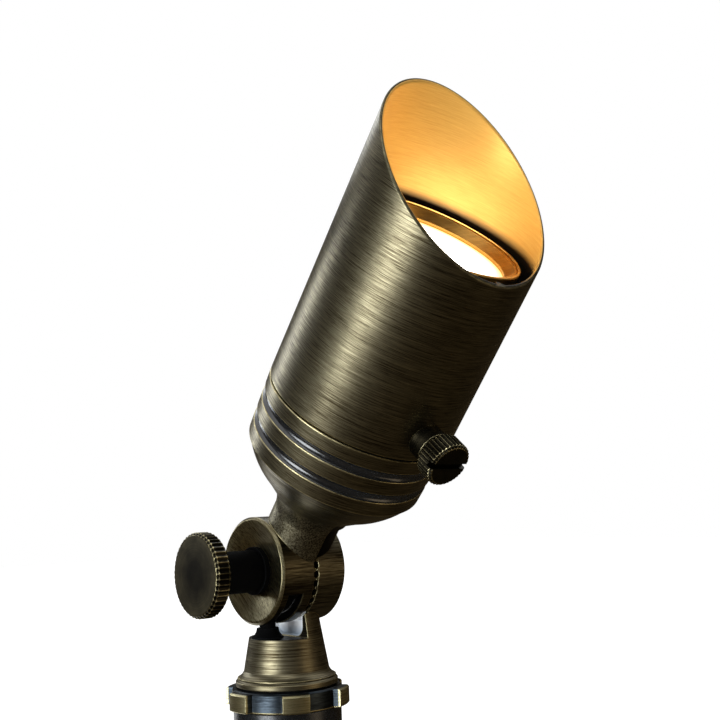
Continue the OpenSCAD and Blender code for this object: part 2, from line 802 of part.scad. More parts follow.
module socket_plate() {
    color(lamp_grey) on_head() difference() {
        tube(chamber_r - way_clear, neck_bore / 2, plate_s, plate_s + plate_t);
        for (side = [-1, 1])
            translate([side * plate_screw_at, 0, plate_s - cut])
                cylinder(r = plate_screw_r + run, h = plate_t + 2 * cut);
    }
}

module socket_screws() {
    head_h = 1.8;
    head_crown = 0.8;
    shank_l = 5;
    slot = 0.8;
    top_s = plate_s + plate_t + seat;
    color(brass) on_head() for (side = [-1, 1])
        translate([side * plate_screw_at, 0, 0]) {
            translate([0, 0, top_s - plate_t - 2 * seat - shank_l])
                cylinder(r = plate_screw_r, h = shank_l + plate_t + 2 * seat + sink);
            translate([0, 0, top_s]) difference() {
                turned(concat([[0, 0]], bow([plate_screw_head_r, 0], [0, head_h], -head_crown, arc_steps)));
                translate([-plate_screw_head_r, -slot / 2, head_h / 2])
                    cube([2 * plate_screw_head_r, slot, head_h]);
            }
        }
}

module lamp_socket() {
    color(glass) on_head() translate([0, 0, socket_s]) difference() {
        translate([-socket_w / 2, -socket_t / 2, 0]) cube([socket_w, socket_t, socket_h]);
        for (side = [-1, 1])
            translate([side * pin_pitch / 2, 0, socket_h - pin_len - edge])
                cylinder(r = pin_r + run, h = pin_len + cut);
    }
}

module lamp_wires() {
    color(black) on_head() for (side = [-1, 1])
        translate([side * wire_at, 0, lead_end_s]) cylinder(r = wire_r, h = socket_s - lead_end_s);
}

module lamp_body() {
    foot_r = 9.5;
    foot_l = 7;
    step = 2;
    rim_l = 7;
    slit_w = 2;
    fin_s = lamp_s + foot_l + step;
    rim_s = lamp_top_s - rim_l;
    in_r = lamp_r - lamp_rim_t;
    face_s = lamp_top_s - lamp_face_in;
    color(lamp_grey) on_head() difference() {
        turned([[0, lamp_s], [foot_r, lamp_s], [foot_r, fin_s - step], [foot_r + step, fin_s],
            [in_r, rim_s - step], [lamp_r, rim_s], [lamp_r, lamp_top_s], [in_r, lamp_top_s],
            [in_r, face_s], [0, face_s]]);
        for (i = [0 : lamp_fins - 1])
            rotate([0, 0, 360 * i / lamp_fins])
                translate([foot_r + step / 2, -slit_w / 2, fin_s])
                    cube([lamp_r, slit_w, rim_s - 2 * step - fin_s]);
        for (side = [-1, 1])
            translate([side * pin_pitch / 2, 0, lamp_s - cut]) cylinder(r = pin_r + run, h = pin_sink + cut);
    }
}

module lamp_face() {
    face_s = lamp_top_s - lamp_face_in + seat;
    face_r = lamp_r - lamp_rim_t - 2 * seat;
    side_h = 1;
    face_h = 2.6;
    crown = 0.5;
    color(glass) on_head() turned(concat([[0, face_s], [face_r, face_s]],
        bow([face_r, face_s + side_h], [0, face_s + face_h], -crown, arc_steps)));
}

module lamp_pins() {
    color(brass) on_head() for (side = [-1, 1])
        translate([side * pin_pitch / 2, 0, lamp_s - pin_len + 2 * edge])
            cylinder(r = pin_r, h = pin_len + pin_sink - 3 * edge);
}

module lens_gasket() {
    color(black) on_head() tube(lens_r, cup_in_r - 2 * edge, shoulder_s + seat, shoulder_s + seat + seal_t);
}

module lens() {
    color(glass) on_head() turned([[0, lens_s], [lens_r - edge, lens_s], [lens_r, lens_s + edge],
        [lens_r, lens_top_s - edge], [lens_r - edge, lens_top_s], [0, lens_top_s]]);
}

module lens_ring() {
    out_r = cup_lip_r - run;
    color(brushed) on_head() turned([[lens_open_r, lens_top_s + seat], [out_r, lens_top_s + seat],
        [out_r, ring_top_s - edge], [out_r - edge, ring_top_s], [out_r - ring_face_w, ring_top_s],
        [lens_open_r, lens_top_s + ring_step]]);
}

module shroud() {
    top_s = shroud_s + shroud_len;
    reach = shroud_r * tan(rim_slope);
    color(brushed) on_head() difference() {
        union() {
            tube(shroud_r, shroud_in_r, shroud_s, top_s + reach);
            intersection() {
                translate([0, -shroud_in_r, lens_top_s]) cylinder(r = rim_stop_r, h = shroud_len);
                cylinder(r = shroud_in_r + sink, h = top_s);
            }
        }
        translate([0, 0, top_s]) rotate([rim_slope, 0, 0])
            translate([-shroud_d, -2 * shroud_d, 0]) cube([2 * shroud_d, 4 * shroud_d, 3 * shroud_len]);
        translate([0, 0, screw_s]) rotate([90, 0, 0])
            cylinder(r = screw_shank_r + run, h = shroud_r + cut);
    }
}

module screw_boss() {
    color(brass) difference() {
        on_screw() turned([[screw_shank_r + run, shroud_in_r], [boss_d / 2, shroud_in_r],
            [boss_d / 2, boss_top_r - edge], [boss_d / 2 - edge, boss_top_r],
            [screw_shank_r + run, boss_top_r]]);
        on_head() translate([0, 0, shroud_s]) cylinder(r = shroud_r + seat, h = shroud_len);
    }
}

module shroud_screw() {
    head_r = screw_d / 2;
    rear_edge = 1.4;
    color(brass) on_screw() difference() {
        union() {
            intersection() {
                translate([0, 0, screw_head_r]) linear_extrude(screw_head_l)
                    polygon(knurl_points(head_r, knurl_depth, screw_knurls));
                turned([[0, screw_head_r], [head_r - rear_edge, screw_head_r],
                    [head_r + sink, screw_head_r + rear_edge + sink],
                    [head_r + sink, screw_face_r - turned_edge - sink],
                    [head_r - turned_edge, screw_face_r], [0, screw_face_r]]);
            }
            translate([0, 0, screw_tip_r])
                cylinder(r = screw_shank_r, h = screw_head_r - screw_tip_r + sink);
        }
        translate([-screw_d, -slot_w / 2, screw_face_r - slot_depth])
            cube([2 * screw_d, slot_w, slot_depth + cut]);
    }
}

ground_stake();
cable_grommet();
lock_ring();
knuckle_base();
flange_gasket();
lead_bushing();
supply_lead();
knuckle_nut();
knob_washer();
tilt_knob();
knuckle_head();
head_lead();
stem_oring();
stem_nut();
lamp_base();
shroud_oring();
cup_gasket();
inner_cup();
socket_plate();
socket_screws();
lamp_socket();
lamp_wires();
lamp_body();
lamp_face();
lamp_pins();
lens_gasket();
lens();
lens_ring();
shroud();
screw_boss();
shroud_screw();
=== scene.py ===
"""Landscape spotlight on a ground stake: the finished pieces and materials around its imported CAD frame.

All sizes of the drawing are in millimetres; every object is in metres, in the frame of the CAD model.
"""

import math

import bmesh
import bpy
from bpy.props import FloatProperty, FloatVectorProperty, IntProperty, PointerProperty
from mathutils import Matrix, Vector


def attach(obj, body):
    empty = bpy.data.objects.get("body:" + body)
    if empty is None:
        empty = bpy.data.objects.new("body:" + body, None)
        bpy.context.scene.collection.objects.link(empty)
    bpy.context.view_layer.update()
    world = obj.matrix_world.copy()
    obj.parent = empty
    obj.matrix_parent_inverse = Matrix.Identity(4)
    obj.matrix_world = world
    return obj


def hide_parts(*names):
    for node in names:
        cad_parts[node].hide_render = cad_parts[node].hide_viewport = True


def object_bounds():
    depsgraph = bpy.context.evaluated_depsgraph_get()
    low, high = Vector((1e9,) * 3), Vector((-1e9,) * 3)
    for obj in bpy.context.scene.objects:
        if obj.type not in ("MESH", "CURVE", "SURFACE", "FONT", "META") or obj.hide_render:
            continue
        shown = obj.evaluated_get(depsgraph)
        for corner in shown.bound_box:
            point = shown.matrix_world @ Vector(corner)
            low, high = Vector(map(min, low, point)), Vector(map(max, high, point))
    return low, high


bl_info = {
    "name": "Landscape spotlight",
    "version": (1, 0, 0),
    "blender": (4, 5, 0),
    "location": "View3D > Sidebar > Spotlight",
    "description": "Builds a bronze landscape spotlight with a slanted shroud on its tilt knuckle and stake",
    "category": "Add Mesh",
}

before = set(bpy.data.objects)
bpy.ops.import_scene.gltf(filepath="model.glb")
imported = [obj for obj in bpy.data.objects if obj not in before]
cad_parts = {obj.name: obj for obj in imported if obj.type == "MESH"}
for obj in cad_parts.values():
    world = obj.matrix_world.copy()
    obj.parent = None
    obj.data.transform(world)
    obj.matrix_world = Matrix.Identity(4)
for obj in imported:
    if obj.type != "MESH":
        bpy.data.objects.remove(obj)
CAD_BOX = [list(corner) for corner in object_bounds()]

MM = 0.001

# Frames of the drawing: local Z is the axis that each group of pieces is turned on
PIVOT = Vector((0, 0, 87.3)) * MM
AXLE = Matrix.Translation(PIVOT) @ Matrix.Rotation(math.radians(90), 4, "Y")
HEAD = Matrix.Translation(PIVOT) @ Matrix.Rotation(math.radians(40), 4, "X")
SCREW = HEAD @ Matrix.Translation((0, 0, 76.95 * MM)) @ Matrix.Rotation(math.radians(90), 4, "X")
# The dish was brushed straight, along this frame's Z
DISH = Matrix.Translation(PIVOT) @ Matrix.Rotation(math.radians(128.5), 4, "X")
# Radii of the toothed discs and of the opening in the lens ring
DISC_R = 18.2
OPENING_R = 22.7
# Width and depth of the screwdriver slot
SLOT_W, SLOT_DEPTH = 1.7, 2.0
# Heights of the cone's top and of the upper end of the masks above it
CONE_TOP, POCKET_TOP = 64.7, 78.0
# Places along the head: up to the first the bore is painted black as shadow, brass from the second, and
# painted shade darkens it towards the lens up to the third, where it is brightest
BORE_PAINTED_SHADOW_TOP, BORE_BRASS, BORE_PAINTED_SHADE_END = 130.5, 133.5, 175.0
# Colour of the matt rubber, jackets and hub
MATT_BLACK = "#070707"


# Colours

def hex_rgb(code):
    """Turns an sRGB hex colour into linear RGBA."""
    out = []
    for i in (1, 3, 5):
        c = int(code[i:i + 2], 16) / 255
        out.append(c / 12.92 if c <= 0.04045 else ((c + 0.055) / 1.055) ** 2.4)
    return (*out, 1.0)


def colour(code, name, description):
    """A colour setting whose default is an sRGB hex colour."""
    return FloatVectorProperty(name=name, description=description, subtype="COLOR", size=4, min=0, max=1,
                               default=hex_rgb(code))


def length(value, name, description):
    """A length setting given in millimetres."""
    return FloatProperty(name=name, description=description, default=value * MM, min=0, unit="LENGTH",
                         subtype="DISTANCE")


# Settings

class SpotlightStageSettings(bpy.types.PropertyGroup):
    """Camera, lamps and floor."""
    camera_place: FloatVectorProperty(name="Camera place", description="Where the camera stands",
                                      default=(-0.21376, -0.29633, 0.10838), unit="LENGTH", subtype="XYZ")
    camera_azimuth: FloatProperty(name="Azimuth", description="Side that the camera looks from",
                                  default=math.radians(-40.341), subtype="ANGLE")
    camera_elevation: FloatProperty(name="Elevation", description="Height angle that the camera looks from",
                                    default=math.radians(-7.906), subtype="ANGLE")
    camera_roll: FloatProperty(name="Roll", description="Turn of the camera about its own axis",
                               default=math.radians(-2.139), subtype="ANGLE")
    lens_mm: FloatProperty(name="Lens", description="Focal length on a sensor 36 mm wide", default=51.78)
    key_power: FloatProperty(name="Key lamp", description="Power of the large soft lamp on the left",
                             default=8.5, unit="POWER")
    fill_power: FloatProperty(name="Fill lamp", description="Power of the warm soft lamp on the right",
                              default=0.7, unit="POWER")
    rim_power: FloatProperty(name="Rim lamp", description="Power of the soft lamp behind on the left",
                             default=1.5, unit="POWER")
    top_power: FloatProperty(name="Top lamps", description="Power of each soft lamp above", default=2.0,
                             unit="POWER")
    world_level: FloatProperty(name="World", description="Level of the even light from all round",
                               default=0.35, min=0)


class SpotlightSizes(bpy.types.PropertyGroup):
    """Sizes of the turned pieces."""
    shroud_d: length(62, "Shroud diameter", "Outer diameter of the shroud")
    shroud_wall: length(1.2, "Shroud wall", "Wall of the shroud")
    shroud_from: length(69.35, "Shroud start", "Distance from the tilt axle to the shroud's lower edge")
    rim_at: length(148.15, "Rim place", "Distance from the tilt axle to the middle of the slanted rim")
    rim_slope: FloatProperty(name="Rim slope", description="Slope of the rim against the head's axis",
                             default=math.radians(31.4), subtype="ANGLE")
    knob_d: length(27.7, "Knob diameter", "Diameter of the tilt knob over its knurls")
    knob_t: length(5.55, "Knob thickness", "Thickness of the tilt knob's knurled head")
    knob_knurls: IntProperty(name="Knob knurls", description="Number of knurls on the tilt knob",
                             default=48, min=24)
    screw_d: length(14.7, "Thumbscrew diameter", "Diameter of the thumbscrew over its knurls")
    screw_t: length(7.5, "Thumbscrew thickness", "Thickness of the thumbscrew's knurled head")
    screw_knurls: IntProperty(name="Thumbscrew knurls", description="Number of knurls on the thumbscrew",
                              default=36, min=18)
    knurl_depth: length(0.45, "Knurl depth", "Depth of the knurls")


class SpotlightColours(bpy.types.PropertyGroup):
    """Colours of the finishes."""
    patina: colour("#2e2413", "Patina", "Dark patina of the bronze")
    bronze: colour("#a59d80", "Bronze", "Bronze where the brushing shows through the patina")
    worn: colour("#dccf9f", "Worn brass", "Bare brass on worn edges")
    gold: colour("#ffd26f", "Inner brass", "Lacquered brass inside the shroud")
    # black_patina_and_shade: black patina in grooves and on the knobs, and also the colour of painted shade
    # and painted shadow on the knuckle and low in the shroud's bore
    black_patina_and_shade: colour("#15130f", "Black patina", "Black patina in grooves and on the knobs")
    black: colour("#070708", "Black", "Moulded black plastic and rubber")
    glow: colour("#4f411b", "Glow", "Colour that the lamp's light has at the lens's edge")


# Materials

def add_node(tree, kind, settings=None, inputs=None):
    """Adds one node; an input is either a plain value or the output socket that feeds it."""
    node = tree.nodes.new(kind)
    for key, value in (settings or {}).items():
        setattr(node, key, value)
    for key, value in (inputs or {}).items():
        if isinstance(value, bpy.types.NodeSocket):
            tree.links.new(value, node.inputs[key])
        else:
            node.inputs[key].default_value = value
    return node


def start_material(name):
    """A new material with its tree and its principled shader."""
    mat = bpy.data.materials.new(name)
    mat.use_nodes = True
    return mat, mat.node_tree, mat.node_tree.nodes["Principled BSDF"]


def set_inputs(tree, shader, inputs):
    """Sets or links sockets of a shader that is already there."""
    for key, value in inputs.items():
        if isinstance(value, bpy.types.NodeSocket):
            tree.links.new(value, shader.inputs[key])
        else:
            shader.inputs[key].default_value = value


def local_place(tree, place=None):
    """Position in a turning frame, in metres."""
    coords = add_node(tree, "ShaderNodeTexCoord").outputs["Object"]
    if place is None:
        return coords
    return add_node(tree, "ShaderNodeMapping", {"vector_type": "TEXTURE"},
                    {"Vector": coords, "Location": place.translation,
                     "Rotation": place.to_euler("XYZ")}).outputs["Vector"]


def grain(tree, place, size, detail=2.0, roughness=0.55):
    """Noise whose grains measure size (x, y, z) in millimetres in the turning frame."""
    scaled = add_node(tree, "ShaderNodeMapping", {"vector_type": "POINT"},
                      {"Vector": place, "Scale": [1000 / s for s in size]}).outputs["Vector"]
    return add_node(tree, "ShaderNodeTexNoise", {"noise_dimensions": "3D"},
                    {"Vector": scaled, "Scale": 1.0, "Detail": detail, "Roughness": roughness}).outputs["Fac"]


def calc(tree, operation, *values):
    """One step of arithmetic."""
    return add_node(tree, "ShaderNodeMath", {"operation": operation}, dict(enumerate(values))).outputs[0]


def level(tree, fac, low, high, to_low=0.0, to_high=1.0):
    """Moves a value from one range into another and stops at its ends."""
    return add_node(tree, "ShaderNodeMapRange", {"clamp": True},
                    {"Value": fac, "From Min": low, "From Max": high, "To Min": to_low,
                     "To Max": to_high}).outputs["Result"]


def mix(tree, fac, a, b):
    """Mixes two colours."""
    return add_node(tree, "ShaderNodeMix", {"data_type": "RGBA"}, {0: fac, 6: a, 7: b}).outputs[2]


def parts_of(tree, place):
    """The three parts of a vector, in millimetres."""
    split = add_node(tree, "ShaderNodeSeparateXYZ", None, {0: place})
    return [calc(tree, "MULTIPLY", split.outputs[i], 1000.0) for i in range(3)]


def inside(tree, value, low, high, soft=0.15):
    """Mask that is 1 while a value in millimetres lies between two limits."""
    return calc(tree, "MULTIPLY", level(tree, value, low - soft, low + soft),
                level(tree, value, high - soft, high + soft, 1.0, 0.0))


def distance(tree, a, b):
    """Distance from an axis, from the two parts of a vector that stand square to it."""
    squares = calc(tree, "ADD", calc(tree, "MULTIPLY", a, a), calc(tree, "MULTIPLY", b, b))
    return calc(tree, "SQRT", squares)


def off_axle(tree):
    """Distance from the tilt axle in millimetres, and the place along it."""
    x, y, z = parts_of(tree, local_place(tree, Matrix.Translation(PIVOT)))
    return distance(tree, y, z), x


def soft_edges(tree, radius):
    """A normal averaged over a small radius, which rounds sharp edges, and a mask of where it turns."""
    soft = add_node(tree, "ShaderNodeBevel", {"samples": 6}, {"Radius": radius * MM}).outputs["Normal"]
    true = add_node(tree, "ShaderNodeNewGeometry").outputs["Normal"]
    cosine = add_node(tree, "ShaderNodeVectorMath", {"operation": "DOT_PRODUCT"},
                      {0: soft, 1: true}).outputs["Value"]
    return soft, level(tree, cosine, 0.99, 0.88)


def painted_edges(tree):
    """Masks of a turned piece's own edges: worn outer edges and dark inner corners."""
    wear = add_node(tree, "ShaderNodeAttribute", {"attribute_name": "wear"}).outputs["Fac"]
    return level(tree, wear, 0.0, 1.0), level(tree, wear, 0.0, -1.0)


def relief(tree, height, depth, normal=None):
    """Normal of a fine relief whose height runs over depth, in millimetres."""
    inputs = {"Strength": 1.0, "Distance": depth * MM, "Height": height}
    if normal is not None:
        inputs["Normal"] = normal
    return add_node(tree, "ShaderNodeBump", None, inputs).outputs["Normal"]


def bronze_lines(tree, place, run, line):
    """Brush lines: one value for their colour and one for their depth.

    Real brush lines are 0.1 mm wide; these are drawn three to four times as wide, so that they show.
    """
    fine = grain(tree, place, run, 3.0, 0.75)
    wide = grain(tree, place, [s * line for s in run], 2.0, 0.5)
    cloud = grain(tree, place, (16, 16, 16), 3.0, 0.6)
    tone = calc(tree, "MULTIPLY_ADD", wide, 0.25, fine)
    tone = calc(tree, "MULTIPLY_ADD", cloud, 0.2, tone)
    return level(tree, tone, 0.56, 1.02), fine


def brushed_bronze(name, colours, place, run, rough):
    """Antique bronze, machine brushed and then darkened: fine pale lines in a brown patina, bare on edges."""
    mat, tree, shader = start_material(name)
    at = local_place(tree, place)
    tone, fine = bronze_lines(tree, at, run, 3)
    base = mix(tree, tone, colours.patina, colours.bronze)
    patchy = level(tree, grain(tree, at, (3, 3, 1.5), 3.0, 0.7), 0.3, 0.65, 0.15, 0.95)
    worn, corner = painted_edges(tree)
    base = mix(tree, corner, base, colours.black_patina_and_shade)
    base = mix(tree, calc(tree, "MULTIPLY", worn, patchy), base, colours.worn)
    set_inputs(tree, shader, {"Base Color": base, "Metallic": 1.0,
                              "Roughness": level(tree, fine, 0.3, 0.7, rough + 0.06, rough - 0.05),
                              "Normal": relief(tree, fine, 0.018)})
    return mat


def black_patina(name, colours, place, run=(8, 8, 0.32), rough=0.34, edges=0.0, pale=0.12):
    """Brass with a black oxide patina: nearly black, with faint lines and bare brass on worn edges.

    edges is the radius of the worn edges in millimetres; 0 takes a turned piece's own edges.
    """
    mat, tree, shader = start_material(name)
    at = local_place(tree, place)
    tone, fine = bronze_lines(tree, at, run, 5)
    base = mix(tree, calc(tree, "MULTIPLY", tone, pale), colours.black_patina_and_shade, colours.bronze)
    patchy = level(tree, grain(tree, at, (2, 2, 2), 3.0, 0.7), 0.3, 0.65, 0.2, 1.0)
    normal = None
    if edges:
        normal, worn = soft_edges(tree, edges)
    else:
        worn, _ = painted_edges(tree)
    base = mix(tree, calc(tree, "MULTIPLY", worn, patchy), base, colours.worn)
    set_inputs(tree, shader, {"Base Color": base, "Metallic": 1.0,
                              "Roughness": level(tree, fine, 0.3, 0.7, rough + 0.06, rough - 0.05),
                              "Normal": relief(tree, fine, 0.01, normal)})
    return mat


def rubbed_face(name, colours, radius):
    """The knob's turned face: black patina with fine circles, rubbed paler towards its edge."""
    mat, tree, shader = start_material(name)
    x, y, _ = parts_of(tree, local_place(tree, AXLE))
    away = distance(tree, x, y)
    rings = add_node(tree, "ShaderNodeCombineXYZ", None, {0: away})
    circles = add_node(tree, "ShaderNodeTexNoise", {"noise_dimensions": "3D"},
                       {"Vector": rings.outputs[0], "Scale": 2.2, "Detail": 3.0,
                        "Roughness": 0.7}).outputs["Fac"]
    cloud = grain(tree, local_place(tree, AXLE), (5, 5, 5), 3.0, 0.6)
    rubbed = calc(tree, "MULTIPLY", level(tree, away, 0.3 * radius, radius, 0.1, 0.7),
                  level(tree, cloud, 0.3, 0.7, 0.6, 1.2))
    tone = calc(tree, "MULTIPLY", rubbed, level(tree, circles, 0.3, 0.7, 0.5, 1.3))
    base = mix(tree, tone, hex_rgb("#1b1c1e"), colours.bronze)
    set_inputs(tree, shader, {"Base Color": base, "Metallic": 1.0,
                              "Roughness": level(tree, circles, 0.3, 0.7, 0.42, 0.32),
                              "Normal": relief(tree, circles, 0.01)})
    return mat


def cast_head_bronze(name, colours):
    """The upper knuckle: a brushed disc, a dish brushed straight and a sand-cast stem.

    The cast skin shows pale grains of 0.5 mm grit on brown; the milled face where the stem is cut away is
    painted black as shadow. The disc's rim is painted darker as shade, and the inside of the lead's slot is
    painted black as shade.
    """
    mat, tree, shader = start_material(name)
    away, x = off_axle(tree)
    across = add_node(tree, "ShaderNodeSeparateXYZ", None,
                      {0: add_node(tree, "ShaderNodeTexCoord").outputs["Normal"]}).outputs[0]
    facing = level(tree, calc(tree, "ABSOLUTE", across), 0.6, 0.8)
    rim_tone, rim_fine = bronze_lines(tree, local_place(tree, DISH), (9, 0.4, 0.4), 4)
    dish_tone, dish_fine = bronze_lines(tree, local_place(tree, DISH), (0.35, 0.35, 9), 4)
    brushed = mix(tree, facing, mix(tree, rim_tone, colours.patina, colours.bronze),
                  mix(tree, dish_tone, hex_rgb("#5a4f30"), hex_rgb("#d9cfa6")))
    at = local_place(tree, HEAD)
    grit = grain(tree, at, (0.5, 0.5, 0.5), 3.0, 0.7)
    cloud = grain(tree, at, (8, 8, 8), 3.0, 0.6)
    speck = calc(tree, "MULTIPLY_ADD", cloud, 0.25, grit)
    cast = mix(tree, level(tree, speck, 0.5, 0.85), colours.patina, hex_rgb("#a69f84"))
    stem = level(tree, away, DISC_R - 0.2, DISC_R + 0.1)
    # Painted shadow: the milled cut on the stem's far side is painted black
    step_shadow = calc(tree, "MULTIPLY", stem, level(tree, x, -0.9, -0.6))
    cast = mix(tree, step_shadow, cast, colours.black_patina_and_shade)
    # Painted shade: the disc's rim is darkened with black, its faces are not
    brushed = mix(tree, calc(tree, "MULTIPLY_ADD", facing, -0.55, 0.55), brushed, colours.black_patina_and_shade)
    base = mix(tree, stem, brushed, cast)
    # Painted shade: the inside of the lead's slot is painted black
    way = calc(tree, "MULTIPLY", level(tree, away, DISC_R - 0.9, DISC_R - 0.5, 1.0, 0.0),
               inside(tree, x, -10.5, -1.5))
    base = mix(tree, way, base, colours.black_patina_and_shade)
    normal, worn = soft_edges(tree, 0.35)
    slot_edge = calc(tree, "MULTIPLY", inside(tree, x, -11.5, -1.2), level(tree, stem, 0, 1, 1.0, 0.0))
    worn = calc(tree, "MULTIPLY", worn, level(tree, slot_edge, 0, 1, 1.0, 0.0))
    patchy = level(tree, cloud, 0.3, 0.65, 0.3, 1.0)
    worn = calc(tree, "MULTIPLY", calc(tree, "MULTIPLY", worn, patchy), level(tree, step_shadow, 0, 1, 1.0, 0.2))
    base = mix(tree, worn, base, colours.worn)
    lines = mix(tree, facing, rim_fine, dish_fine)
    height = mix(tree, stem, lines, grit)
    set_inputs(tree, shader, {"Base Color": base, "Metallic": 1.0,
                              "Roughness": level(tree, stem, 0, 1, 0.29, 0.44),
                              "Normal": relief(tree, height, 0.03, normal)})
    return mat


def cast_base_bronze(name, colours):
    """The lower knuckle: flange and cone turned, the disc brushed along the axle, the arm's pocket bare.

    The pocket's die-cast skin never got the patina, so it shows pale grey metal, with painted shade that
    darkens it towards its foot. The disc is painted darker as shade; the arm's cut face and the cone's top
    are painted black as shadow.
    """
    mat, tree, shader = start_material(name)
    away, x = off_axle(tree)
    turned_tone, turned_fine = bronze_lines(tree, local_place(tree), (14, 14, 0.22), 2)
    disc_tone, disc_fine = bronze_lines(tree, local_place(tree, AXLE), (0.4, 0.4, 9), 4)
    disc = level(tree, away, DISC_R - 0.2, DISC_R + 0.1, 1.0, 0.0)
    base = mix(tree, mix(tree, disc, turned_tone, disc_tone), colours.patina, colours.bronze)
    # Painted shade: the disc is darkened with black
    base = mix(tree, calc(tree, "MULTIPLY", disc, 0.4), base, colours.black_patina_and_shade)
    normal, worn = soft_edges(tree, 0.35)
    at = local_place(tree)
    patchy = level(tree, grain(tree, at, (4, 4, 4), 3.0, 0.7), 0.3, 0.65, 0.25, 1.0)
    base = mix(tree, calc(tree, "MULTIPLY", worn, patchy), base, colours.worn)
    _, y, z = parts_of(tree, at)
    # Painted shadow: the arm's cut face above the cone is painted black, less on its worn edges
    cut_face_shadow = calc(tree, "MULTIPLY", inside(tree, x, -3.0, 0.12),
                    inside(tree, z, CONE_TOP + 0.2, POCKET_TOP))
    base = mix(tree, calc(tree, "MULTIPLY", cut_face_shadow, level(tree, worn, 0, 1, 0.8, 0.0)), base, colours.black_patina_and_shade)
    # Painted shadow: the cone's flat top is painted black
    cone_top_shadow = calc(tree, "MULTIPLY", inside(tree, z, CONE_TOP - 0.15, CONE_TOP + 0.15, 0.05),
                    level(tree, x, -0.5, 0.0, 1.0, 0.0))
    base = mix(tree, cone_top_shadow, base, colours.black_patina_and_shade)
    pocket = calc(tree, "MULTIPLY", inside(tree, x, 0.15, 4.6),
                  calc(tree, "MULTIPLY", inside(tree, y, -9.8, 9.8),
                       inside(tree, z, CONE_TOP + 0.1, POCKET_TOP)))
    # Painted shade: the bare pocket is darker towards its foot
    bare = mix(tree, level(tree, z, CONE_TOP + 0.1, 68.0), hex_rgb("#c3d0dc"), hex_rgb("#ffffff"))
    base = mix(tree, pocket, base, bare)
    height = mix(tree, disc, turned_fine, disc_fine)
    set_inputs(tree, shader, {"Base Color": base, "Metallic": level(tree, pocket, 0, 1, 1.0, 0.1),
                              "Roughness": level(tree, turned_fine, 0.3, 0.7, 0.46, 0.36),
                              "Normal": relief(tree, height, 0.012, normal)})
    return mat


def ring_brass(name, colours):
    """Milled brass ring: its lugs are rubbed bare, the metal between them keeps a blue-black patina."""
    mat, tree, shader = start_material(name)
    at = local_place(tree)
    x, y, z = parts_of(tree, at)
    away = distance(tree, x, y)
    tone, fine = bronze_lines(tree, at, (6, 6, 0.4), 4)
    lug = mix(tree, tone, hex_rgb("#9a926c"), hex_rgb("#e8deb4"))
    between = mix(tree, tone, hex_rgb("#171b1f"), hex_rgb("#444c53"))
    base = mix(tree, level(tree, away, 20.2, 20.9), between, lug)
    normal, edge = soft_edges(tree, 0.4)
    base = mix(tree, calc(tree, "MULTIPLY", edge, 0.8), base, colours.black_patina_and_shade)
    # Painted highlight: a pale band in worn-brass colour along the ring's bottom edge
    base = mix(tree, inside(tree, z, 41.0, 42.5, 0.1), base, colours.worn)
    set_inputs(tree, shader, {"Base Color": base, "Metallic": 1.0,
                              "Roughness": level(tree, fine, 0.3, 0.7, 0.4, 0.28),
                              "Normal": relief(tree, fine, 0.012, normal)})
    return mat


def black_mould(name, colours, rough=0.26, gloss=0.6, grain_mm=0.8, depth=0.006, sheen="#17191c"):
    """Moulded black plastic or rubber: an even fine skin with a soft sheen."""
    mat, tree, shader = start_material(name)
    at = local_place(tree)
    skin = grain(tree, at, (grain_mm, grain_mm, grain_mm), 2.0, 0.6)
    cloud = grain(tree, at, (25, 25, 25), 2.0, 0.5)
    normal, edge = soft_edges(tree, 0.3)
    base = mix(tree, cloud, colours.black, hex_rgb(sheen))
    base = mix(tree, calc(tree, "MULTIPLY", edge, 0.4), base, hex_rgb("#33363a"))
    set_inputs(tree, shader, {"Base Color": base, "Specular IOR Level": gloss,
                              "Roughness": level(tree, skin, 0.3, 0.7, rough - 0.04, rough + 0.08),
                              "Normal": relief(tree, skin, depth, normal)})
    return mat


def plain_metal(name, dark, pale, rough, lines=(6, 6, 0.5)):
    """Plain turned or cast metal with faint tool lines."""
    mat, tree, shader = start_material(name)
    fine = grain(tree, local_place(tree), lines, 2.0, 0.6)
    set_inputs(tree, shader, {"Base Color": mix(tree, fine, hex_rgb(dark), hex_rgb(pale)), "Metallic": 1.0,
                              "Roughness": level(tree, fine, 0.3, 0.7, rough - 0.04, rough + 0.08)})
    return mat


def fired_ceramic(name):
    """Fired steatite: matt off-white with faint specks."""
    mat, tree, shader = start_material(name)
    speck = grain(tree, local_place(tree), (1.5, 1.5, 1.5))
    set_inputs(tree, shader, {"Base Color": mix(tree, speck, hex_rgb("#e6dfce"), hex_rgb("#f1ecdf")),
                              "Roughness": 0.6})
    return mat


def bore_brass(name, colours):
    """Lacquered brass inside the shroud: warm gold with fine brush lines round the tube; painted shade
    darkens it towards the lens, and a painted shadow blackens it just above the inner cup.
    """
    mat, tree, shader = start_material(name)
    at = local_place(tree, HEAD)
    tone, fine = bronze_lines(tree, at, (8, 8, 0.28), 3)
    base = mix(tree, tone, hex_rgb("#eab45a"), colours.gold)
    _, _, s = parts_of(tree, at)
    # Painted shade: darker brown near the lens, fading out towards the rim
    base = mix(tree, level(tree, s, BORE_BRASS - 0.5, BORE_PAINTED_SHADE_END, 0.6, 0.0), base, hex_rgb("#b07c2c"))
    # Painted shadow: black low in the bore, above the inner cup, where the cup's lip blocks the lamp's light
    base = mix(tree, level(tree, s, BORE_PAINTED_SHADOW_TOP, BORE_BRASS), colours.black_patina_and_shade, base)
    set_inputs(tree, shader, {"Base Color": base, "Metallic": 0.5,
                              "Roughness": level(tree, fine, 0.3, 0.7, 0.5, 0.38),
                              "Normal": relief(tree, fine, 0.012)})
    return mat


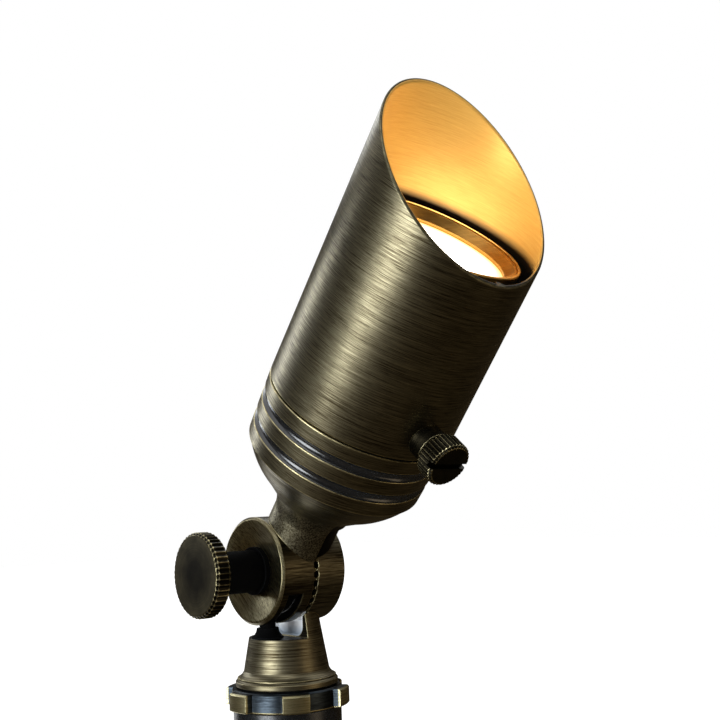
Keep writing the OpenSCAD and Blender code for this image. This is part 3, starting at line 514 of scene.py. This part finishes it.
def lit(name, colours, middle, strength, radius):
    """A lit round surface: warm white, yellower towards radius, in millimetres, where its glow ends."""
    mat, tree, shader = start_material(name)
    x, y, _ = parts_of(tree, local_place(tree, HEAD))
    away = distance(tree, x, y)
    tone = calc(tree, "POWER", level(tree, away, 0.6 * radius, radius), 0.25)
    set_inputs(tree, shader, {"Base Color": hex_rgb("#fff4e0"), "Roughness": 0.15,
                              "Emission Color": mix(tree, tone, hex_rgb(middle), colours.glow),
                              "Emission Strength": strength})
    return mat


# Shapes

def round_outline(corners, steps=4, closed=True, support=0.25):
    """Rounds the corners of an outline.

    corners: (r, z, fillet) or (r, z, fillet, share of wear) in millimetres. Returns (r, z, wear): wear is
    1 on a rounded outer edge, -1 in a rounded inner corner and 0 elsewhere; a point beside each fillet
    keeps the faces next to it flat.
    """
    out = []
    count = len(corners)
    for i, (r, z, fillet, *share) in enumerate(corners):
        here = Vector((r, z))
        if fillet <= 0 or (not closed and i in (0, count - 1)):
            out.append((r, z, 0.0))
            continue
        before = Vector(corners[i - 1][:2]) - here
        after = Vector(corners[(i + 1) % count][:2]) - here
        half = before.angle(after) / 2
        reach = min(fillet / math.tan(half), 0.45 * before.length, 0.45 * after.length)
        radius = reach * math.tan(half)
        centre = here + (before.normalized() + after.normalized()).normalized() * (radius / math.sin(half))
        start = here + before.normalized() * reach
        sweep = math.pi - 2 * half
        cross = before.x * after.y - before.y * after.x
        side = (1.0 if cross < 0 else -1.0) * (share[0] if share else 1.0)
        pad = min(support, 0.3 * (before.length - reach))
        lead = start + before.normalized() * pad
        out.append((lead.x, lead.y, 0.0))
        arm = start - centre
        for k in range(steps + 1):
            turn = -math.copysign(sweep, cross) * k / steps
            c, s = math.cos(turn), math.sin(turn)
            p = centre + Vector((arm.x * c - arm.y * s, arm.x * s + arm.y * c))
            out.append((p.x, p.y, side * (1.0 if 0 < k < steps else 0.6)))
        pad = min(support, 0.3 * (after.length - reach))
        tail = here + after.normalized() * (reach + pad)
        out.append((tail.x, tail.y, 0.0))
    return out


def bow(start, end, height, steps):
    """Plain points of an arc between two (r, z) points; it bulges by height to the left of the way."""
    p, q = Vector(start), Vector(end)
    way = q - p
    left = Vector((-way.y, way.x)).normalized()
    radius = (way.length ** 2 / 4 + height ** 2) / (2 * height)
    centre = (p + q) / 2 + left * (height - radius)
    sweep = 4 * math.atan(2 * height / way.length)
    arm = p - centre
    points = []
    for i in range(steps + 1):
        a = -sweep * i / steps
        points.append((centre.x + arm.x * math.cos(a) - arm.y * math.sin(a),
                       centre.y + arm.x * math.sin(a) + arm.y * math.cos(a), 0.0))
    return points


def add_piece(name, bm, place, materials, body=None, node=None):
    """Makes an object from a bmesh in millimetres in a turning frame; its vertices end in the CAD's frame."""
    bmesh.ops.recalc_face_normals(bm, faces=bm.faces)
    bmesh.ops.transform(bm, matrix=place @ Matrix.Scale(MM, 4), verts=bm.verts)
    mesh = bpy.data.meshes.new(name)
    bm.to_mesh(mesh)
    bm.free()
    mesh.polygons.foreach_set("use_smooth", [True] * len(mesh.polygons))
    mesh.set_sharp_from_angle(angle=math.radians(40))
    for material in materials:
        mesh.materials.append(material)
    piece = bpy.data.objects.new(name, mesh)
    bpy.context.scene.collection.objects.link(piece)
    if body:
        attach(piece, body)
        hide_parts(node)
    return piece


def lathe(points, segments, shape=None, closed=True, paint=None):
    """Turns an outline of (r, z, wear) about Z.

    shape(i, r, z, angle) may move a point and gives its added wear; paint(i) gives the slot of a ring of
    faces.
    """
    bm = bmesh.new()
    wear = bm.verts.layers.float.new("wear")
    rings = []
    for i, (r, z, w) in enumerate(points):
        ring = []
        if r < 1e-6:
            vert = bm.verts.new((0, 0, z))
            vert[wear] = w
            ring = [vert] * segments
        else:
            for k in range(segments):
                angle = 2 * math.pi * k / segments
                rr, zz, more = shape(i, r, z, angle) if shape else (r, z, 0.0)
                vert = bm.verts.new((rr * math.cos(angle), rr * math.sin(angle), zz))
                vert[wear] = max(-1.0, min(1.0, w + more))
                ring.append(vert)
        rings.append(ring)
    count = len(rings)
    for i in range(count if closed else count - 1):
        a, b = rings[i], rings[(i + 1) % count]
        for k in range(segments):
            n = (k + 1) % segments
            corners = []
            for vert in (a[k], a[n], b[n], b[k]):
                if vert not in corners:
                    corners.append(vert)
            if len(corners) > 2:
                face = bm.faces.new(corners)
                if paint:
                    face.material_index = paint(i)
    return bm


def knurled(radius, depth, count):
    """Shape of a straight knurl: sharp ridges at the radius, worn bare on their tops."""
    def shape(i, r, z, angle):
        share = max(0.0, min(1.0, (r - radius + 1.4) / 1.2))
        valley = abs((angle * count / (2 * math.pi)) % 1.0 * 2 - 1)
        return r - depth * valley * share, z, share * (0.5 * max(0.0, 1 - 2.5 * valley) - 0.7 * valley)
    return shape


def reach_of(node, place):
    """Lowest and highest local Z of a CAD node in a turning frame, in millimetres."""
    turned = place.inverted()
    heights = [(turned @ vert.co).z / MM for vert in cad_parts[node].data.vertices]
    return min(heights), max(heights)


def cut_slot(piece, place, size, centre):
    """Cuts a straight slot into a piece; size and centre are in millimetres in the turning frame."""
    bm = bmesh.new()
    bmesh.ops.create_cube(bm, size=1.0)
    bmesh.ops.transform(bm, verts=bm.verts, matrix=place @ Matrix.Scale(MM, 4) @ Matrix.Translation(centre)
                        @ Matrix.Diagonal((*size, 1.0)))
    mesh = bpy.data.meshes.new("slot_cutter")
    bm.to_mesh(mesh)
    bm.free()
    cutter = bpy.data.objects.new("slot_cutter", mesh)
    bpy.context.scene.collection.objects.link(cutter)
    cut = piece.modifiers.new("slot", "BOOLEAN")
    cut.operation = "DIFFERENCE"
    cut.solver = "EXACT"
    cut.object = cutter
    bpy.context.view_layer.update()
    result = bpy.data.meshes.new_from_object(piece.evaluated_get(bpy.context.evaluated_depsgraph_get()))
    piece.modifiers.clear()
    piece.data = result
    bpy.data.objects.remove(cutter)
    if not result.polygons:
        raise RuntimeError(f"the slot of {piece.name} left no faces")
    result.set_sharp_from_angle(angle=math.radians(40))


def dress(node, material):
    """Gives a CAD node a finished material."""
    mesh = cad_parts[node].data
    mesh.materials.clear()
    mesh.materials.append(material)


# Operators

class SpotlightAddStage(bpy.types.Operator):
    """Adds the floor, the dark cards, the lamps and the camera"""
    bl_idname = "spotlight.add_stage"
    bl_label = "Stage"

    def execute(self, context):
        stage = context.scene.spotlight_stage
        self.add_camera(context, stage)
        self.add_world(context, stage)
        self.add_floor()
        self.add_cards()
        self.add_lamps(context, stage)
        context.scene.view_settings.view_transform = "Standard"
        return {"FINISHED"}

    def add_camera(self, context, stage):
        az, el, roll = stage.camera_azimuth, stage.camera_elevation, stage.camera_roll
        back = Vector((math.sin(az) * math.cos(el), -math.cos(az) * math.cos(el), math.sin(el)))
        flat = Vector((math.cos(az), math.sin(az), 0))
        rise = back.cross(flat)
        right = flat * math.cos(roll) + rise * math.sin(roll)
        up = rise * math.cos(roll) - flat * math.sin(roll)
        data = bpy.data.cameras.new("Camera")
        data.lens = stage.lens_mm
        data.sensor_width = 36
        data.clip_start = 0.01
        data.clip_end = 20
        camera = bpy.data.objects.new("Camera", data)
        camera.matrix_world = Matrix.Translation(stage.camera_place) @ Matrix(
            (right, up, back)).transposed().to_4x4()
        context.scene.collection.objects.link(camera)
        context.scene.camera = camera

    def seen(self, tree):
        """1 for rays that show the background: from the camera, and reflected or sent on by a surface."""
        rays = add_node(tree, "ShaderNodeLightPath")
        seen = rays.outputs["Is Camera Ray"]
        for ray in ("Is Glossy Ray", "Is Transmission Ray"):
            seen = calc(tree, "MAXIMUM", seen, rays.outputs[ray])
        return seen

    def add_world(self, context, stage):
        world = bpy.data.worlds.new("Studio")
        context.scene.world = world
        world.use_nodes = True
        tree = world.node_tree
        background = tree.nodes["Background"]
        background.inputs["Color"].default_value = (1, 1, 1, 1)
        tree.links.new(level(tree, self.seen(tree), 0, 1, stage.world_level, 1.0),
                       background.inputs["Strength"])

    def add_floor(self):
        """A pale floor that turns into the white background away from the object and keeps its shadow."""
        bm = bmesh.new()
        bmesh.ops.create_grid(bm, x_segments=8, y_segments=8, size=6000)
        mat, tree, shader = start_material("pale_studio_floor")
        at = local_place(tree)
        cloud = grain(tree, at, (400, 400, 400))
        away = add_node(tree, "ShaderNodeVectorMath", {"operation": "LENGTH"}, {0: at}).outputs["Value"]
        white = calc(tree, "MULTIPLY", level(tree, away, 0.35, 1.2, 0.4, 1.0), self.seen(tree))
        set_inputs(tree, shader, {"Base Color": mix(tree, cloud, hex_rgb("#f0f0ee"), hex_rgb("#f4f4f2")),
                                  "Roughness": 0.9, "Emission Color": (1, 1, 1, 1),
                                  "Emission Strength": white})
        low = CAD_BOX[0][2] / MM
        add_piece("floor", bm, Matrix.Translation((0, 0, low * MM - 0.0002)), [mat])

    def add_cards(self):
        """Dark studio cards round the object, open above, which only its own gloss shows."""
        low = CAD_BOX[0][2] / MM - 0.1
        bm = lathe([(0, low, 0), (1500, low, 0), (1500, low + 1300, 0)], 72, closed=False)
        behind = Vector((0.07, 1.0))
        gap = [f for f in bm.faces if f.calc_center_median().z < low + 1
               and f.calc_center_median().xy.angle(behind) < math.radians(16)]
        bmesh.ops.delete(bm, geom=gap, context="FACES")
        mat, tree, shader = start_material("dark_felt_cards")
        cloud = grain(tree, local_place(tree), (300, 300, 300))
        set_inputs(tree, shader, {"Base Color": mix(tree, cloud, hex_rgb("#4b402e"), hex_rgb("#574a36")),
                                  "Roughness": 0.95, "Specular IOR Level": 0.0})
        cards = add_piece("cards", bm, Matrix.Identity(4), [mat])
        for ray in ("camera", "diffuse", "transmission", "shadow", "volume_scatter"):
            setattr(cards, "visible_" + ray, False)

    def add_lamps(self, context, stage):
        aim = Vector((0, -0.05, 0.14))
        warm = hex_rgb("#ffe6c0")[:3]
        cool = hex_rgb("#f6fbff")[:3]
        lamps = (("key", (-0.888, -0.145, 0.08), 0.45, 0.6, stage.key_power, cool),
                 ("fill", (0.38, -0.81, 0.08), 0.4, 0.5, stage.fill_power, warm),
                 ("rim", (-0.2, 0.82, 0.35), 0.25, 0.35, stage.rim_power, cool),
                 ("top", (-0.25, -0.5, 1.0), 0.5, 0.5, stage.top_power, cool),
                 ("back", (0.35, 0.7, 0.9), 0.5, 0.5, stage.top_power, cool))
        for name, place, wide, tall, power, tint in lamps:
            data = bpy.data.lights.new(name, "AREA")
            data.shape = "RECTANGLE"
            data.size = wide
            data.size_y = tall
            data.energy = power
            data.color = tint
            lamp = bpy.data.objects.new(name, data)
            lamp.location = place
            lamp.rotation_euler = (Vector(place) - aim).to_track_quat("Z", "Y").to_euler()
            context.scene.collection.objects.link(lamp)


class SpotlightDressFrame(bpy.types.Operator):
    """Gives every CAD node that stays its finished material"""
    bl_idname = "spotlight.dress_frame"
    bl_label = "Finishes of the frame"

    def execute(self, context):
        colours = context.scene.spotlight_colours
        rubber = black_mould("moulded_black_rubber", colours, 0.85, 0.04, sheen=MATT_BLACK)
        brass = plain_metal("turned_brass", "#8a7440", "#b59a5c", 0.3)
        aluminium = plain_metal("die_cast_aluminium", "#8f9194", "#b4b6b8", 0.45, (2, 2, 2))
        jacket = black_mould("extruded_black_pvc", colours, 0.8, 0.04, sheen=MATT_BLACK)
        cup = plain_metal("turned_cup_brass", "#b98a42", "#f0c873", 0.34)
        finishes = {
            "ground_stake": black_mould("moulded_black_nylon", colours), "cable_grommet": rubber,
            "lock_ring": ring_brass("milled_brass_ring", colours),
            "knuckle_base": cast_base_bronze("turned_antique_bronze_swivel", colours),
            "flange_gasket": rubber, "lead_bushing": rubber, "supply_lead": jacket, "knuckle_nut": brass,
            "knob_washer": rubber, "knuckle_head": cast_head_bronze("sand_cast_antique_bronze_head", colours),
            "head_lead": jacket, "stem_oring": rubber, "stem_nut": brass, "shroud_oring": rubber,
            "cup_gasket": rubber, "inner_cup": cup, "socket_plate": aluminium, "socket_screws": brass,
            "lamp_socket": fired_ceramic("fired_steatite"), "lamp_wires": jacket, "lamp_body": aluminium,
            "lamp_face": lit("lit_lamp_front", colours, "#fff6e4", 6.0, OPENING_R), "lamp_pins": brass,
            "lens_gasket": rubber, "lens": lit("lit_frosted_glass", colours, "#fffaf0", 12.0, OPENING_R),
            "lens_ring": plain_metal("turned_lens_brass", "#9b6a30", "#d8a95a", 0.34),
            "screw_boss": black_patina("black_patina_boss", colours, SCREW, edges=0.4),
        }
        for node, material in finishes.items():
            dress(node, material)
        return {"FINISHED"}


class SpotlightAddShroud(bpy.types.Operator):
    """Adds the brushed shroud with its slanted rim and the small stop inside its low side"""
    bl_idname = "spotlight.add_shroud"
    bl_label = "Shroud"

    def execute(self, context):
        sizes, colours = context.scene.spotlight_sizes, context.scene.spotlight_colours
        outer = sizes.shroud_d / MM / 2
        inner = outer - sizes.shroud_wall / MM
        low, top = sizes.shroud_from / MM, sizes.rim_at / MM
        slope = math.tan(sizes.rim_slope)
        stop_from, stop_r = 125.5, 1.5
        shares = [k / 12 for k in range(1, 12)] + [0.935, 0.945, 0.97]
        outline = round_outline([(outer, low, 0.3), (outer, top, 0.5, 0.15), (inner, top, 0.5, 0.0),
                                 (inner, low, 0.3)])
        points = []
        for i, (r, z, w) in enumerate(outline):
            points.append((r, z, w))
            following = outline[(i + 1) % len(outline)]
            if abs(following[1] - z) > 20:
                rising = following[1] > z
                for share in sorted(shares, reverse=not rising):
                    points.append((r, low + (top - low) * share, 0.0))

        def shape(i, r, z, angle):
            zz = z + (z - low) / (top - low) * slope * r * math.sin(angle)
            off = inner * math.remainder(angle + math.pi / 2, 2 * math.pi)
            if r < (outer + inner) / 2 and abs(off) < stop_r and zz > stop_from - 0.1:
                r -= math.sqrt(stop_r ** 2 - off ** 2) * min(1.0, (zz - stop_from + 0.1) / 0.5)
            return r, zz, 0.0

        bore = [r < inner + 0.05 for r, z, w in points]

        def paint(i):
            follow = (i + 1) % len(points)
            at_rim = min(points[i][1], points[follow][1]) > top - 0.7
            # The rim's outer part takes the dark finish of painted shade
            if at_rim and min(points[i][0], points[follow][0]) > inner + 0.45:
                return 2
            return int(at_rim or bore[i] and bore[follow])

        bm = lathe(points, 384, shape, paint=paint)
        add_piece("shroud_tube", bm, HEAD, [
            brushed_bronze("brushed_antique_bronze_tube", colours, HEAD, run=(10, 10, 0.22), rough=0.33),
            bore_brass("lacquered_brass_bore", colours),
            # Painted shade: the rim's outer edge is painted dark in place of the dark it reflects
            black_patina("dark_rim_painted_shade", colours, HEAD, rough=0.45, pale=0.25)],
            "shroud", "shroud")
        return {"FINISHED"}


class SpotlightAddLampBase(bpy.types.Operator):
    """Adds the turned lamp base with its collar, bell, bands and grooves"""
    bl_idname = "spotlight.add_lamp_base"
    bl_label = "Lamp base"

    def execute(self, context):
        colours = context.scene.spotlight_colours
        # Heights from the tilt axle, and radii, from the collar up to the neck inside the shroud
        base, collar, bell, foot, top, neck_top = 31.25, 36.45, 45.85, 47.55, 68.75, 81.95
        collar_r, collar_top_r, bell_r, low_r, top_r, neck_r = 15.5, 20.8, 28.9, 30.1, 31.0, 29.4
        crown, band_h, groove_w, groove_depth = 0.65, 4.8, 3.4, 1.3
        # Steps of the bore, from the stem's hole up to the mouth that holds the inner cup
        floor, ledge, cup_seat = 37.95, 57.95, 63.95
        hole_r, well_r, chamber_r, mouth_r = 8.05, 15.0, 22.0, 26.7

        def band(s):
            return low_r + (top_r - low_r) * (s - foot) / (top - foot)

        corners = [(hole_r, base, 0), (collar_r, base, 0.35), (collar_top_r, collar, 0.5)]
        corners += bow((collar_top_r, collar), (bell_r, bell), -crown, 8)[1:-1]
        corners += [(bell_r, bell, 0.4, 0.5), (band(foot), foot, 0.35)]
        grooves = []
        for low in (foot + band_h, foot + 2 * band_h + groove_w):
            high = low + groove_w
            grooves.append((low + 0.1, high - 0.1))
            corners.append((band(low), low, 0.25))
            corners += bow((band(low), low), (band(high), high), groove_depth, 8)[1:-1]
            corners.append((band(high), high, 0.25))
        corners += [(top_r, top, 0.3), (neck_r, top, 0), (neck_r, neck_top, 0.4), (mouth_r, neck_top, 0),
                    (mouth_r, cup_seat, 0), (chamber_r, cup_seat, 0), (chamber_r, ledge, 0),
                    (well_r, ledge, 0), (well_r, floor, 0), (hole_r, floor, 0)]
        points = round_outline(corners, 4, support=0.2)

        def paint(i):
            here, after = points[i], points[(i + 1) % len(points)]
            middle = (here[1] + after[1]) / 2
            return int(here[0] > mouth_r + 0.3 and any(start < middle < end for start, end in grooves)
                       and here[2] == 0 and after[2] == 0)

        add_piece("lamp_base_turned", lathe(points, 256, paint=paint), HEAD, [
            brushed_bronze("turned_antique_bronze_base", colours, HEAD, run=(10, 10, 0.24), rough=0.34),
            black_mould("black_lacquer_groove", colours, 0.2, 0.9, 2.0, 0.001)],
            "head", "lamp_base")
        return {"FINISHED"}


class SpotlightAddKnob(bpy.types.Operator):
    """Adds the tilt knob with its bare face, knurled edge, hub and shank"""
    bl_idname = "spotlight.add_knob"
    bl_label = "Tilt knob"

    def execute(self, context):
        sizes, colours = context.scene.spotlight_sizes, context.scene.spotlight_colours
        face, end = reach_of("tilt_knob", AXLE)
        back = face + sizes.knob_t / MM
        radius = sizes.knob_d / MM / 2
        hub_r, hub_end, shank_r = 7.0, -13.3, 4.0
        corners = [(0, face, 0), (4, face, 0), (8, face, 0), (radius - 0.8, face, 0.25, 0.8),
                   (radius, face + 0.8, 0.25, 1.0), (radius, back - 0.8, 0.25, 1.0),
                   (radius - 0.8, back, 0.25, 0.8), (hub_r, back, 0.3), (hub_r, hub_end, 0.3),
                   (shank_r, hub_end, 0), (shank_r, end - 0.5, 0), (shank_r - 0.5, end, 0), (0, end, 0)]
        points = round_outline(corners, 3, closed=False)
        shape = knurled(radius, sizes.knurl_depth / MM, sizes.knob_knurls)

        def paint(i):
            if points[i][0] > radius - 1.5:
                return 0
            return 1 if points[i][1] > back - 0.1 else 2

        bm = lathe(points, 6 * sizes.knob_knurls, shape, closed=False, paint=paint)
        add_piece("tilt_knob_turned", bm, AXLE, [
            black_patina("black_patina_knurl", colours, AXLE, run=(0.3, 0.3, 3), pale=0.04),
            black_mould("black_lacquer_hub", colours, 0.85, 0.04, sheen=MATT_BLACK),
            rubbed_face("rubbed_black_patina_face", colours, radius)],
            "tilt_knob", "tilt_knob")
        return {"FINISHED"}


class SpotlightAddThumbscrew(bpy.types.Operator):
    """Adds the knurled thumbscrew with its screwdriver slot"""
    bl_idname = "spotlight.add_thumbscrew"
    bl_label = "Thumbscrew"

    def execute(self, context):
        sizes, colours = context.scene.spotlight_sizes, context.scene.spotlight_colours
        tip, face = reach_of("shroud_screw", SCREW)
        foot = face - sizes.screw_t / MM
        radius = sizes.screw_d / MM / 2
        shank_r = 2.95
        corners = [(0, tip, 0), (shank_r - 0.4, tip, 0), (shank_r, tip + 0.4, 0), (shank_r, foot, 0),
                   (radius - 1.4, foot, 0.2, 0.6), (radius, foot + 1.4, 0.25, 0.6),
                   (radius, face - 0.8, 0.25, 1.0), (radius - 0.8, face, 0.25, 1.0), (0, face, 0)]
        points = round_outline(corners, 3, closed=False)
        shape = knurled(radius, sizes.knurl_depth / MM, sizes.screw_knurls)
        bm = lathe(points, 6 * sizes.screw_knurls, shape, closed=False)
        piece = add_piece("thumbscrew_turned", bm, SCREW, [
            black_patina("black_patina_thumbscrew", colours, SCREW, run=(5, 5, 0.35))],
            "shroud_screw", "shroud_screw")
        cut_slot(piece, SCREW, (20, SLOT_W, 2 * SLOT_DEPTH), (0, 0, face))
        return {"FINISHED"}


# Panel

class SpotlightPanel(bpy.types.Panel):
    """Lists the pieces of the spotlight with their settings"""
    bl_idname = "VIEW3D_PT_landscape_spotlight"
    bl_label = "Landscape spotlight"
    bl_space_type = "VIEW_3D"
    bl_region_type = "UI"
    bl_category = "Spotlight"

    def draw(self, context):
        layout = self.layout
        for operator in OPERATORS:
            layout.operator(operator.bl_idname)
        for group in (context.scene.spotlight_stage, context.scene.spotlight_sizes,
                      context.scene.spotlight_colours):
            box = layout.box()
            for name in group.bl_rna.properties.keys():
                if name not in ("rna_type", "name"):
                    box.prop(group, name)


SETTINGS = {"spotlight_stage": SpotlightStageSettings, "spotlight_sizes": SpotlightSizes,
            "spotlight_colours": SpotlightColours}
OPERATORS = (SpotlightAddStage, SpotlightDressFrame, SpotlightAddShroud, SpotlightAddLampBase,
             SpotlightAddKnob, SpotlightAddThumbscrew)


def register():
    for cls in (*SETTINGS.values(), *OPERATORS, SpotlightPanel):
        bpy.utils.register_class(cls)
    for name, cls in SETTINGS.items():
        setattr(bpy.types.Scene, name, PointerProperty(type=cls))


def unregister():
    for name in SETTINGS:
        delattr(bpy.types.Scene, name)
    for cls in reversed((*SETTINGS.values(), *OPERATORS, SpotlightPanel)):
        bpy.utils.unregister_class(cls)


def main():
    register()
    for operator in OPERATORS:
        group, name = operator.bl_idname.split(".")
        getattr(getattr(bpy.ops, group), name)()


if __name__ == "__main__":
    main()
